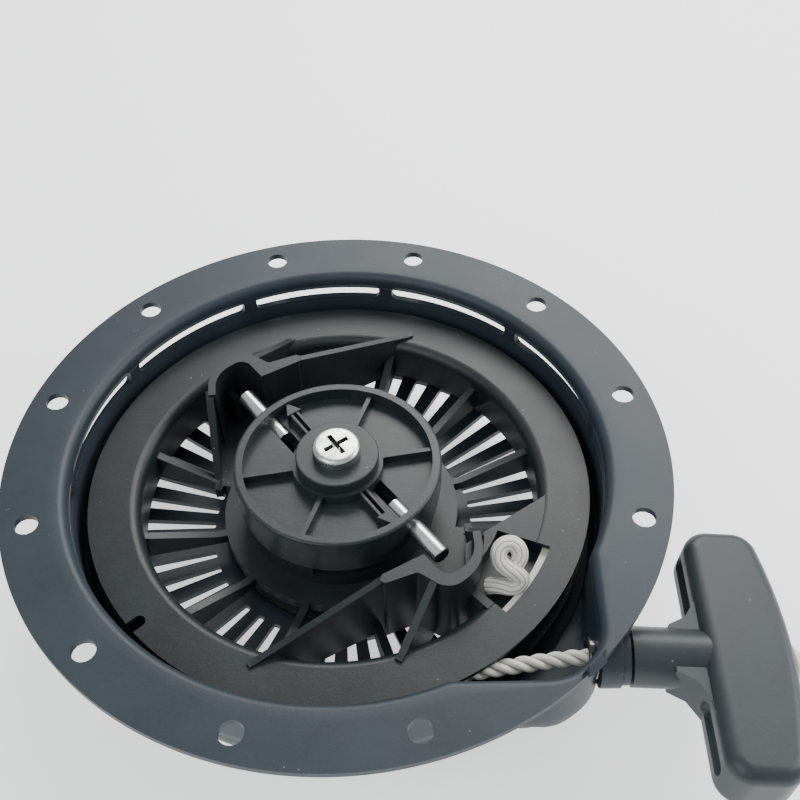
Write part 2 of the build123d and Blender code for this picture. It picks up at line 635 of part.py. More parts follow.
def make_handle_rope():
    """The rope inside the stem."""
    rope = Pos(0.4, 0, 0) * (Rot(0, 90, 0) * extrude(Circle(ROPE_R), KNOT_SEAT + 1.2 - 0.4))
    return grip_place(rope)


def make_knot_washer():
    washer = extrude(Circle(KNOT_BAY_R - 0.3), 1.2) - extrude(Circle(ROPE_R), 1.2)
    return grip_place(Pos(KNOT_SEAT, 0, 0) * (Rot(0, 90, 0) * washer))


def make_handle_knot():
    body = Pos(KNOT_SEAT + 1.2 + 6.9, 0, 0) * scale(Sphere(1), by=(6.9, 6.6, 6.2))
    return grip_place(body)


# ---- write every node ---------------------------------------------------------------------

save("housing", make_housing(), BLACK)
save("centre_post", make_centre_post(), STEEL)
save("centre_screw", make_centre_screw(), STEEL)
save("screw_washer", make_screw_washer(), STEEL)
save("friction_cap", make_friction_cap(), BLACK)
save("recoil_spring", make_recoil_spring(), STEEL)
save("spring_anchor", make_spring_anchor(), STEEL)
save("spring_cover", make_spring_cover(), STEEL)
save("rope_eyelet", make_rope_eyelet(), BLACK)
save("pulley", make_pulley(), BLACK)
save("pulley_bush", make_pulley_bush(), ROPE)
save("cam_plate", make_cam_plate(), STEEL)
save("thrust_washer", make_thrust_washer(), STEEL)
save("brake_spring", make_brake_spring(), STEEL)
save("ratchet_disc", make_disc(), BLACK)
save("disc_cover", make_disc_cover(), BLACK)
save("drive_pin_a", make_drive_pin(), STEEL)
save("drive_pin_b", Rot(0, 0, 180) * make_drive_pin(), STEEL)
save("rope_coil", make_rope_coil(), ROPE)
save("pulley_knot", make_pulley_knot(), ROPE)
save("rope_run", make_rope_run(), ROPE)
save("handle_grip", make_handle_grip(), BLACK)
save("handle_rope", make_handle_rope(), ROPE)
save("knot_washer", make_knot_washer(), STEEL)
save("handle_knot", make_handle_knot(), ROPE)
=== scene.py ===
"""A pull-rope recoil starter for a small engine, seen from its engine side: a flanged black bowl,
a spoked rope pulley with two catcher hooks, a ratchet disc with steel pins, and a T handle."""
import json
from math import cos, pi, radians, sin, sqrt, tan

import bmesh
import bpy
import numpy as np
from mathutils import Matrix, Vector


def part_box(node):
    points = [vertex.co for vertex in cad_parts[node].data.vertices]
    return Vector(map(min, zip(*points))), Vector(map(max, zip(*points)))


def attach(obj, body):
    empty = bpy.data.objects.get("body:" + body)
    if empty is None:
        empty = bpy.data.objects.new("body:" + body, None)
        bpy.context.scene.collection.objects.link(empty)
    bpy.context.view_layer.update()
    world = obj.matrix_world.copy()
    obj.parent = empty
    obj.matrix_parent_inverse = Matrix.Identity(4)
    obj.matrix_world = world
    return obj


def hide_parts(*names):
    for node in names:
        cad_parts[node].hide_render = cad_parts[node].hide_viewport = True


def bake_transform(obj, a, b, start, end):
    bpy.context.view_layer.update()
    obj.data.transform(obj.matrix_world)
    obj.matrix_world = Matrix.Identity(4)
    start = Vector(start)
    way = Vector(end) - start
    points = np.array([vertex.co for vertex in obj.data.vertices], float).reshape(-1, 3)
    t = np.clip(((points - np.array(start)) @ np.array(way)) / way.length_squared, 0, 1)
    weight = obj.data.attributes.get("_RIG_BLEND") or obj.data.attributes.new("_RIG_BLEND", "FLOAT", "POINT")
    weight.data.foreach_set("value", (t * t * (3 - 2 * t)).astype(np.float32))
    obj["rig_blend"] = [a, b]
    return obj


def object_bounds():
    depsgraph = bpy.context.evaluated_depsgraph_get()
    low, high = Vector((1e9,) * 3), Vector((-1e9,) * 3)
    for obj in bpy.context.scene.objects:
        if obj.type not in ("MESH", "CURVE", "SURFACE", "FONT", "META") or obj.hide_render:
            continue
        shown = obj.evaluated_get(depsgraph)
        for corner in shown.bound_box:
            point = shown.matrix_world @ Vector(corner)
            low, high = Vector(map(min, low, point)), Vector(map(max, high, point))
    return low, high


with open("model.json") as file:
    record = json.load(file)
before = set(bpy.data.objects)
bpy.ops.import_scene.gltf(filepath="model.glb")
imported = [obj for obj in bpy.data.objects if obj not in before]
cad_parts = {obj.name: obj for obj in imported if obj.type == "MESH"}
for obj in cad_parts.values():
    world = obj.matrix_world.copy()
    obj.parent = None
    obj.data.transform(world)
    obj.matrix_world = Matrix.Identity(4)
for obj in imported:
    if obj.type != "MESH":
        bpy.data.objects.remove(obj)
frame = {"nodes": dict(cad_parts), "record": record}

cad_box = [list(corner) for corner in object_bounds()]


# ---- Floor, light and camera --------------------------------------------------------------
# A pale sheet that glows a little, as a light table does, so that daylight shows through the
# vents and the grille. Large soft boxes stand over the back and at the right.
class Wire:
    """A socket of a node tree. Its operators add the nodes that an expression needs."""

    def __init__(self, tree, socket=None):
        self.tree = tree
        self.socket = socket

    def node(self, kind, settings=None, inputs=None, output=0):
        """Adds any node: its settings are set first, then its sockets' values or links."""
        made = self.tree.nodes.new(kind)
        for key, value in (settings or {}).items():
            if key == "stops":
                ramp = made.color_ramp.elements
                while len(ramp) < len(value):
                    ramp.new(0.5)
                for stop, (place, level) in zip(ramp, value):
                    stop.position = place
                    stop.color = (level, level, level, 1)
            else:
                setattr(made, key, value)
        for key, value in (inputs or {}).items():
            if isinstance(value, Wire):
                self.tree.links.new(value.socket, made.inputs[key])
            else:
                made.inputs[key].default_value = value
        return Wire(self.tree, made.outputs[output])

    def maths(self, operation, first, second):
        return self.node("ShaderNodeMath", {"operation": operation}, {0: first, 1: second})

    def __add__(self, other):
        return self.maths("ADD", self, other)

    def __radd__(self, other):
        return self.maths("ADD", other, self)

    def __sub__(self, other):
        return self.maths("SUBTRACT", self, other)

    def __rsub__(self, other):
        return self.maths("SUBTRACT", other, self)

    def __mul__(self, other):
        return self.maths("MULTIPLY", self, other)

    def __rmul__(self, other):
        return self.maths("MULTIPLY", other, self)

    def __gt__(self, other):
        return self.maths("GREATER_THAN", self, other)

    def ramp(self, *stops):
        return self.node("ShaderNodeValToRGB", {"stops": stops}, {"Fac": self})

    def mix(self, first, second):
        """Blends two colours, with this value as the share of the second."""
        values = {"Factor": self, 6: first, 7: second}
        return self.node("ShaderNodeMix", {"data_type": "RGBA"}, values, output=2)

    def noise(self, scale, detail=2.0, rough=0.5):
        values = {"Vector": self, "Scale": scale, "Detail": detail, "Roughness": rough}
        return self.node("ShaderNodeTexNoise", None, values)


def new_material(name, **constants):
    """An empty material: its Principled shader and a wire at the Object coordinates."""
    material = bpy.data.materials.new(name)
    material.use_nodes = True
    shader = material.node_tree.nodes["Principled BSDF"]
    for key, value in constants.items():
        shader.inputs[key.replace("_", " ")].default_value = value
    place = Wire(material.node_tree).node("ShaderNodeTexCoord", output="Object")
    return material, shader, place


def feed(shader, **wires):
    """Links wires to the shader's sockets."""
    for key, wire in wires.items():
        wire.tree.links.new(wire.socket, shader.inputs[key.replace("_", " ")])


def soft_box(name, place, aim, size, power, colour):
    lamp = bpy.data.lights.new(name, "AREA")
    lamp.shape = "RECTANGLE"
    lamp.size, lamp.size_y = size
    lamp.energy = power
    lamp.color = colour
    box = bpy.data.objects.new(name, lamp)
    box.location = place
    box.rotation_euler = (Vector(aim) - Vector(place)).to_track_quat("-Z", "Y").to_euler()
    bpy.context.scene.collection.objects.link(box)


floor_gap = 0.0004
floor_z = cad_box[0][2] - floor_gap
floor_half = 3.0
floor_mesh = bpy.data.meshes.new("floor")
floor_corners = [(x * floor_half, y * floor_half, floor_z) for x, y in ((-1, -1), (1, -1), (1, 1), (-1, 1))]
floor_mesh.from_pydata(floor_corners, [], [(0, 1, 2, 3)])
floor = bpy.data.objects.new("floor", floor_mesh)
bpy.context.scene.collection.objects.link(floor)
pale, pale_shader, pale_place = new_material("pale_floor", Roughness=0.6, Emission_Color=(1, 1, 1, 1),
                                             Emission_Strength=0.95)
feed(pale_shader, Base_Color=pale_place.noise(6.0).mix((0.80, 0.81, 0.82, 1), (0.84, 0.84, 0.84, 1)))
floor_mesh.materials.append(pale)

world = bpy.context.scene.world or bpy.data.worlds.new("studio")
bpy.context.scene.world = world
world.use_nodes = True
world.node_tree.nodes["Background"].inputs["Color"].default_value = (0.94, 0.97, 1.0, 1)
world.node_tree.nodes["Background"].inputs["Strength"].default_value = 0.62
soft_box("back_box", (0.25, 0.75, 0.75), (0, 0, 0), (0.9, 0.5), 14, (1, 0.99, 0.96))
soft_box("right_box", (0.85, 0.15, 0.45), (0, 0, 0), (0.5, 0.5), 6, (1, 1, 1))
soft_box("front_box", (-0.55, -0.6, 0.75), (0, 0, 0), (0.8, 0.8), 6, (0.92, 0.97, 1))

camera = bpy.data.objects.new("camera", bpy.data.cameras.new("camera"))
bpy.context.scene.collection.objects.link(camera)
bpy.context.scene.camera = camera
camera.data.sensor_width = 36.0
camera.data.lens = 53.38
view_right = Vector((0.99986, -0.0035, -0.0156)).normalized()
view_back = Vector((0.0093, -0.6687, 0.7435)).normalized()
view_up = view_back.cross(view_right).normalized()
view_right = view_up.cross(view_back).normalized()
camera_axes = Matrix((view_right, view_up, view_back)).transposed()
camera.matrix_world = Matrix.Translation((0.0244, -0.2454, 0.3001)) @ camera_axes.to_4x4()
camera.data.clip_start = 0.01


# ---- Housing ------------------------------------------------------------------------------
# One thin black moulding: a bolting flange, a bowl with vents in its wall and wedge slots in
# its floor, a squared corner for the rope and a drum behind for the recoil spring.
MM = 0.001


def add_mesh(name, points, faces, material=None, sharp=35.0):
    """A mesh object from points in millimetres, doubles merged, faces outwards."""
    mesh = bpy.data.meshes.new(name)
    places = [tuple(float(c) * MM for c in point) for point in points]
    mesh.from_pydata(places, [], [tuple(map(int, face)) for face in faces])
    work = bmesh.new()
    work.from_mesh(mesh)
    bmesh.ops.remove_doubles(work, verts=work.verts, dist=2e-6)
    bmesh.ops.dissolve_degenerate(work, edges=work.edges, dist=1e-6)
    bmesh.ops.recalc_face_normals(work, faces=work.faces)
    work.to_mesh(mesh)
    work.free()
    return add_object(name, mesh, material, sharp)


def add_object(name, mesh, material=None, sharp=35.0):
    if material:
        mesh.materials.clear()
        mesh.materials.append(material)
    smooth(mesh, sharp)
    made = bpy.data.objects.new(name, mesh)
    bpy.context.scene.collection.objects.link(made)
    return made


def smooth(mesh, sharp):
    mesh.shade_smooth()
    mesh.set_sharp_from_angle(angle=radians(sharp))


def settle(made, sharp=35.0):
    """Turns an object with modifiers into a plain mesh."""
    graph = bpy.context.evaluated_depsgraph_get()
    mesh = bpy.data.meshes.new_from_object(made.evaluated_get(graph))
    made.modifiers.clear()
    made.data = mesh
    smooth(mesh, sharp)
    return made


def bevelled(made, width, segments=2, angle=40.0, sharp=35.0):
    """Rounds the sharp edges of a finished mesh."""
    bevel = made.modifiers.new("edges", "BEVEL")
    bevel.width = width * MM
    bevel.segments = segments
    bevel.limit_method = "ANGLE"
    bevel.angle_limit = radians(angle)
    bevel.miter_outer = "MITER_ARC"
    settle(made, sharp)
    flat = made.modifiers.new("normals", "WEIGHTED_NORMAL")
    flat.keep_sharp = True
    graph = bpy.context.evaluated_depsgraph_get()
    mesh = bpy.data.meshes.new_from_object(made.evaluated_get(graph))
    made.modifiers.clear()
    made.data = mesh
    return made


def black_plastic(name, dark, light, roughness, grain=1.0, dust=0.0, scuff=0.0):
    """Moulded plastic: clouded colour, a fine spark-eroded grain, flow marks and a few specks."""
    material, shader, place = new_material(name, Specular_IOR_Level=0.34)
    cloud = place.noise(38, 4, 0.6)
    fine = place.noise(900, 3, 0.7)
    long_place = place.node("ShaderNodeMapping", None,
                            {"Vector": place, "Scale": (1, 7, 1), "Rotation": (0, 0, 0.7)})
    scratch = long_place.noise(160, 5, 0.7).ramp((0.52, 0), (0.8, 1))
    tone = (cloud * 0.75 + fine * 0.25).ramp((0.3, 0), (0.72, 1))
    colour = tone.mix((*dark, 1), (*light, 1))
    colour = (scratch * (0.05 + scuff)).mix(colour, (0.10, 0.11, 0.12, 1))
    grey_dust = (0.42, 0.44, 0.44, 1)
    if dust:
        cell = place.node("ShaderNodeTexVoronoi", None, {"Vector": place, "Scale": 300.0, "Randomness": 1.0})
        patch = place.noise(55, 2, 0.6).ramp((0.46, 0), (0.66, 1))
        speck = (0.085 * patch - cell).ramp((0.0, 0), (0.03, 1))
        colour = (speck * dust).mix(colour, grey_dust)
    rough = tone * 0.1 + scratch * 0.05 + (roughness - 0.05)
    bump = place.node("ShaderNodeBump", None, {"Strength": 0.25 * grain, "Distance": 0.00012,
                                               "Height": fine + 0.6 * place.noise(3200, 2, 0.5)})
    feed(shader, Base_Color=colour, Roughness=rough, Normal=bump)
    return material


housing_plastic = black_plastic("housing_plastic", (0.017, 0.025, 0.033), (0.027, 0.038, 0.048),
                                0.45, 1.0, 0.3)

low, high = (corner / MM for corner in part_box("housing"))
flange_r = high.x
wall_t = 2.2
wall_r = flange_r - 21.2            # inside of the bowl under the rim
wall_foot_r = wall_r - 1.6
floor_top = -38.0                   # inside of the bowl's floor
drum_r = 38.5
drum_floor = low.z + wall_t
foot_round = 6.0
lip = 3.0                           # rounding from flange to bowl
outlet_x, outlet_y = 78.75, -80.6   # inner faces of the squared outlet corner
outlet_round = 18.0
outlet_floor = -29.0
bolt_circle = 100.0
bolt_hole_r = 3.75
vent_mid, vent_half = -7.1, 3.1     # height of the vents
grille_in, grille_out = 44.6, 74.0
post_r = 7.0
waist = -15.0                       # first row of the wall under the vents
foot_start = -33.0                  # last row before the wall rounds into the floor
column_count = 360
flat_rows, bend_rows, vent_rows_count, lower_rows, foot_rows = 6, 6, 6, 14, 8


def outlet_wall(angle):
    """Distance from the shaft to the bowl's wall at the rim, outlet corner included."""
    x, y = cos(angle), sin(angle)
    if x <= 0 or y >= 0:
        return wall_r
    reach = min(outlet_x / x, outlet_y / y)
    corner_x, corner_y = outlet_x - outlet_round, outlet_y + outlet_round
    if reach * x > corner_x and reach * y < corner_y:
        along = corner_x * x + corner_y * y
        across = corner_x * y - corner_y * x
        reach = along + sqrt(max(outlet_round ** 2 - across ** 2, 0))
    return max(wall_r, reach)


def path_points(corners, rounds, count, arc_steps=6):
    """Points evenly along a path of straight runs whose corners are rounded."""
    line = [Vector(corners[0])]
    for before, corner, after, radius in zip(corners, corners[1:], corners[2:], rounds):
        before, corner, after = Vector(before), Vector(corner), Vector(after)
        way_in, way_out = before - corner, after - corner
        if way_in.length < 1e-6 or way_out.length < 1e-6:
            line.append(corner)
            continue
        half = way_in.angle(way_out) / 2
        cut = min(radius / max(tan(half), 1e-6), 0.49 * way_in.length, 0.49 * way_out.length)
        start, end = corner + way_in.normalized() * cut, corner + way_out.normalized() * cut
        for step in range(arc_steps + 1):
            share = step / arc_steps
            line.append((1 - share) ** 2 * start + 2 * share * (1 - share) * corner + share ** 2 * end)
    line.append(Vector(corners[-1]))
    line = np.array([tuple(p) for p in line])
    along = np.concatenate([[0], np.cumsum(np.linalg.norm(np.diff(line, axis=0), axis=1))])
    at = np.linspace(0, along[-1], count)
    return np.stack([np.interp(at, along, line[:, k]) for k in range(line.shape[1])], axis=1)


def wall_profile(angle):
    """(radius, height) from the flange's edge down into the drum, at one angle round the shaft."""
    top_r = outlet_wall(angle)
    edge = min(lip, 0.86 * (flange_r - 0.5 - top_r))
    bend = [(top_r + edge * (1 - sin(a)), -edge * 1.1 * (1 - cos(a)))
            for a in np.linspace(0, pi / 2, bend_rows)]
    flat = [(r, 0.0) for r in (flange_r, flange_r - 1.0)]
    flat += [(flange_r - 1.0 + (top_r + edge - flange_r + 1.0) * k / (flat_rows - 1), 0.0)
             for k in range(1, flat_rows - 1)]
    vent_heights = np.linspace(vent_mid + 3.9, vent_mid - 4.4, vent_rows_count)
    vent = [(top_r - 0.05 * k, z) for k, z in enumerate(vent_heights)]
    lower = path_points([(top_r - 0.4, waist), (top_r - 0.4, outlet_floor), (wall_r - 0.9, outlet_floor),
                         (wall_r - 1.0, foot_start)], (3.0, 2.0), lower_rows)
    foot = path_points([(wall_r - 1.0, foot_start), (wall_foot_r, floor_top), (grille_out + 3, floor_top)],
                       (foot_round,), foot_rows + 1)[1:]
    floor_run = [(r, floor_top) for r in (grille_out + 1.4, grille_in - 1.2, drum_r + 3)]
    drum = path_points([(drum_r + 3, floor_top), (drum_r, floor_top), (drum_r, drum_floor),
                        (drum_r - 4, drum_floor)], (1.5, 1.5), 12)[1:]
    hub = [(r, drum_floor) for r in (28, 18, 10, post_r + 0.02)]
    return np.concatenate([flat, bend, vent, lower, foot, floor_run, drum, hub])


profiles = np.array([wall_profile(radians(k)) for k in range(column_count)])
row_count = profiles.shape[1]
turn = np.radians(np.arange(column_count))[:, None]
shell = np.stack([profiles[:, :, 0] * np.cos(turn), profiles[:, :, 0] * np.sin(turn), profiles[:, :, 1]],
                 axis=2)
shell_points = [tuple(p) for p in shell.reshape(-1, 3)]
shell_faces = []
windows = []        # (middle column, half width in columns, first row, last row, place, shape)


def on_flange(angle, radius):
    return (radius * cos(angle), radius * sin(angle), 0.0)


def on_wall(angle, height):
    return ((wall_r - 0.05) * cos(angle), (wall_r - 0.05) * sin(angle), height)


def on_floor(angle, radius):
    return (radius * cos(angle), radius * sin(angle), floor_top)


def rounded_window(u, v, half_width, half_height, corner):
    """A point of a rounded rectangle, from a point of the unit square's edge."""
    x, y = u * half_width, v * half_height
    inner_x, inner_y = half_width - corner, half_height - corner
    if abs(x) > inner_x and abs(y) > inner_y:
        side_x, side_y = np.sign(x) * inner_x, np.sign(y) * inner_y
        away = Vector((x - side_x, y - side_y)).normalized() * corner
        x, y = side_x + away.x, side_y + away.y
    return x, y


def bolt_shape(angle, u, v):
    x, y = rounded_window(u, v, bolt_hole_r, bolt_hole_r, bolt_hole_r)
    return angle + x / bolt_circle, bolt_circle + y


def vent_shape(angle, u, v):
    x, y = rounded_window(u, v, radians(15.4) * wall_r, vent_half, 2.1)
    return angle + x / wall_r, vent_mid + y


def grille_shape(angle, u, v):
    middle, half = (grille_in + grille_out) / 2, (grille_out - grille_in) / 2
    x, y = rounded_window(u, v, radians(2.15) * (middle + v * half), half, 1.3)
    return angle + x / (middle + y), middle + y


flange_rows = (1, flat_rows - 1)
vent_rows = (flat_rows + bend_rows, flat_rows + bend_rows + vent_rows_count - 1)
floor_row = flat_rows + bend_rows + vent_rows_count + lower_rows + foot_rows
missing_bolt = 315
for angle in range(15, 375, 30):
    if angle != missing_bolt:
        windows.append((angle, 7, *flange_rows, on_flange, bolt_shape))
windows += [(-5 + 34 * k, 17, *vent_rows, on_wall, vent_shape) for k in range(9)]
windows += [(-45 + 8 * k, 4, floor_row, floor_row + 1, on_floor, grille_shape) for k in range(45)]
covered = {(column % column_count, row) for middle, half, first, last, _, _ in windows
           for column in range(middle - half, middle + half) for row in range(first, last)}
for column in range(column_count):
    for row in range(row_count - 1):
        if (column, row) not in covered:
            after = (column + 1) % column_count
            shell_faces.append([column * row_count + row, column * row_count + row + 1,
                                after * row_count + row + 1, after * row_count + row])


def window_block(middle, half, first, last, place, shape, rings=3):
    """Rings of faces between a block of the shell's grid and the opening in its middle."""
    height = last - first
    border = [(c, last) for c in range(middle - half, middle + half)]
    border += [(middle + half, last - k) for k in range(height)]
    border += [(c, first) for c in range(middle + half, middle - half, -1)]
    border += [(middle - half, first + k) for k in range(height)]
    angle = radians(middle)
    outer, inner = [], []
    for column, row in border:
        point = shell[column % column_count, row]
        spread = radians(column) - angle
        level = point[2] if place is on_wall else np.hypot(point[0], point[1])
        outer.append((spread, level))
    levels = [level for _, level in outer]
    centre = (max(levels) + min(levels)) / 2
    reach = (max(levels) - min(levels)) / 2
    for spread, level in outer:
        opened, level_in = shape(angle, spread / radians(half), (level - centre) / reach)
        inner.append((opened - angle, level_in))
    count, base = len(border), len(shell_points)
    shell_points.extend(tuple(shell[column % column_count, row]) for column, row in border)
    for ring in range(1, rings + 1):
        share = (ring / rings) ** 0.7
        for (spread, level), (spread_in, level_in) in zip(outer, inner):
            shell_points.append(place(angle + spread + (spread_in - spread) * share,
                                      level + (level_in - level) * share))
    for ring in range(rings):
        for k in range(count):
            after = (k + 1) % count
            shell_faces.append([base + ring * count + k, base + ring * count + after,
                                base + (ring + 1) * count + after, base + (ring + 1) * count + k])


for window in windows:
    window_block(*window)
housing_shell = add_mesh("housing_shell", shell_points, shell_faces, housing_plastic)
# The faces have to look into the bowl, so that the wall grows outwards.
probe = max(housing_shell.data.polygons, key=lambda face: face.center.z + face.center.length)
if probe.normal.z < 0:
    housing_shell.data.flip_normals()
thicken = housing_shell.modifiers.new("wall", "SOLIDIFY")
thicken.thickness = wall_t * MM
thicken.offset = -1
thicken.thickness_clamp = 0
settle(housing_shell)
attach(housing_shell, "housing")
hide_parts("housing")

nozzle_bore, nozzle_sides = 4.6, 72
pull_y, pull_z = -65.5, -15.9       # the line that the rope is pulled along
nozzle_line = path_points([(79.2, nozzle_bore), (79.2, 9.3), (85.6, 9.3), (85.6, 8.5), (88.2, 8.5),
                           (88.2, nozzle_bore), (79.2, nozzle_bore)], (0.1, 0.5, 0.2, 0.6, 0.5), 60)
nozzle_points = [(x, pull_y + r * cos(a), pull_z + r * sin(a))
                 for a in np.linspace(0, 2 * pi, nozzle_sides, endpoint=False) for x, r in nozzle_line]
ring_size = len(nozzle_line)
nozzle_faces = []
for k in range(nozzle_sides):
    this, after = k * ring_size, (k + 1) % nozzle_sides * ring_size
    nozzle_faces += [(this + j, this + j + 1, after + j + 1, after + j) for j in range(ring_size - 1)]
nozzle = add_mesh("rope_nozzle", nozzle_points, nozzle_faces, housing_plastic)
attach(nozzle, "housing")
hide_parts("housing")


# ---- Rope pulley --------------------------------------------------------------------------
# One black moulding: a grooved ring with rounded edges, ten spokes, a hub cup and two tall
# hooked walls that are braced on the ring. Its edges are rounded by the mould.
def from_cad(node, width, material, angle=28.0, segments=2):
    """A copy of a CAD node's mesh with merged points and rounded edges, which replaces it."""
    mesh = frame["nodes"][node].data.copy()
    work = bmesh.new()
    work.from_mesh(mesh)
    bmesh.ops.remove_doubles(work, verts=work.verts, dist=1.5e-6)
    if width:
        bmesh.ops.dissolve_limit(work, angle_limit=radians(0.4), verts=work.verts, edges=work.edges)
    bmesh.ops.recalc_face_normals(work, faces=work.faces)
    work.to_mesh(mesh)
    work.free()
    for layer in [a.name for a in mesh.attributes if a.name.startswith("custom_normal")]:
        mesh.attributes.remove(mesh.attributes[layer])
    made = add_object(node + "_moulded", mesh, material)
    if width:
        bevelled(made, width, segments, angle)
    for body, nodes in frame["record"]["behaviour"]["bodies"].items():
        if node in nodes:
            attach(made, body)
    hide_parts(node)
    return made


pulley_plastic = black_plastic("pulley_plastic", (0.009, 0.012, 0.0135), (0.018, 0.0235, 0.026),
                               0.40, 1.1, 0.6, 0.08)
from_cad("pulley", 0.35, pulley_plastic)


# ---- Ratchet disc, its lower half and the cap -----------------------------------------------
# A shallow black cup with a rounded rim, four ribs, two raised arrows and a boss under the
# screw. A stepped skirt below it carries the pins, and a loose cap sits under the washer.
disc_plastic = black_plastic("disc_plastic", (0.013, 0.018, 0.020), (0.026, 0.033, 0.036),
                             0.36, 1.0, 0.9, 0.3)
from_cad("ratchet_disc", 0.3, disc_plastic)
from_cad("disc_cover", 0.25, disc_plastic)
from_cad("friction_cap", 0.5, disc_plastic, segments=3)


# ---- Screw, washer and pins -----------------------------------------------------------------
# Zinc-plated turned steel: a domed cross-head screw on a plain washer, and two round pins with small
# chamfers. The plating is bright, faintly streaked along the pins and scratched; the screw's cross recess is
# painted dark as shade.
def plated_steel(name, dark, light, roughness, stretch=(1, 1, 1), lean=0.0, recess_shade_z=None):
    material, shader, place = new_material(name)
    turned_place = place.node("ShaderNodeMapping", None, {"Vector": place, "Rotation": (0, 0, lean)})
    long_place = place.node("ShaderNodeMapping", None, {"Vector": turned_place, "Scale": stretch})
    streak = long_place.noise(420, 4, 0.65)
    blotch = place.noise(160, 3, 0.6)
    tone = (streak * 0.6 + blotch * 0.4).ramp((0.36, 0), (0.64, 1))
    scratch = long_place.noise(1500, 2, 0.6).ramp((0.62, 0), (0.72, 1))
    colour = tone.mix((*dark, 1), (*light, 1))
    colour = (scratch * 0.35).mix(colour, (0.25, 0.26, 0.25, 1))
    if recess_shade_z is not None:
        # Painted shade: inside the screw's cross recess, below the head's top and near its axis, the colour
        # is made nearly black, as the shade that falls there.
        height = place.node("ShaderNodeSeparateXYZ", None, {"Vector": place}, output=2)
        flat_place = place.node("ShaderNodeMapping", None, {"Vector": place, "Scale": (1, 1, 0)})
        radius = place.node("ShaderNodeVectorMath", {"operation": "LENGTH"}, {0: flat_place}, output=1)
        recess_shade_r = 0.0052
        recess_shade = (recess_shade_z - height > 0) * (recess_shade_r - radius > 0)
        colour = (recess_shade * 0.85).mix(colour, (0.05, 0.055, 0.055, 1))
    bump = place.node("ShaderNodeBump", None, {"Strength": 0.3, "Distance": 0.0001, "Height": streak})
    feed(shader, Base_Color=colour, Roughness=tone * -0.12 + (roughness + 0.06) + scratch * 0.15, Normal=bump)
    shader.inputs["Metallic"].default_value = 1.0
    return material


low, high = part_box("centre_screw")
# Below this drop under the head's top, the screw's cross recess gets painted shade.
recess_shade_drop = 0.0007
zinc = plated_steel("zinc_steel", (0.44, 0.46, 0.43), (0.72, 0.74, 0.70), 0.27,
                    recess_shade_z=high.z - recess_shade_drop)
pin_angle = 127.7
pin_zinc = plated_steel("zinc_pins", (0.48, 0.51, 0.49), (0.78, 0.81, 0.79), 0.26, (0.12, 2.2, 1),
                        radians(-pin_angle))
from_cad("centre_screw", 0, zinc)
from_cad("screw_washer", 0.15, zinc)
from_cad("drive_pin_a", 0.3, pin_zinc)
from_cad("drive_pin_b", 0.3, pin_zinc)


# ---- Pull rope ------------------------------------------------------------------------------
# White nylon, three strands laid together. It leaves the pulley, slides through the eyelet and
# ends in the handle. A short stretch inside the nozzle and stem is drawn out with the handle.
def rope_fibre(name):
    """Cream-white nylon: fine fibres along each strand, painted shade in the grooves between the strands, and
    a faint random soil.
    """
    material, shader, place = new_material(name, Specular_IOR_Level=0.35)
    lay = place.node("ShaderNodeUVMap", {"uv_map": "lay"})
    fibres = place.node("ShaderNodeMapping", None, {"Vector": lay, "Scale": (60, 2.5, 1)}).noise(1.0, 4, 0.7)
    gap_shade = place.node("ShaderNodeAttribute", {"attribute_name": "groove"}, output=2)
    soil = place.noise(260, 3, 0.6).ramp((0.35, 0), (0.75, 1))
    colour = fibres.ramp((0.3, 0), (0.7, 1)).mix((0.64, 0.61, 0.53, 1), (0.90, 0.88, 0.81, 1))
    # Painted shade: the grooves between the strands are darkened towards near black.
    colour = (gap_shade * 0.85).mix(colour, (0.13, 0.13, 0.12, 1))
    colour = (soil * 0.14).mix(colour, (0.36, 0.33, 0.27, 1))
    bump = place.node("ShaderNodeBump", None, {"Strength": 0.7, "Distance": 0.0003, "Height": fibres})
    feed(shader, Base_Color=colour, Roughness=0.5 + fibres * 0.25, Normal=bump)
    shader.inputs["Sheen Weight"].default_value = 0.15
    return material


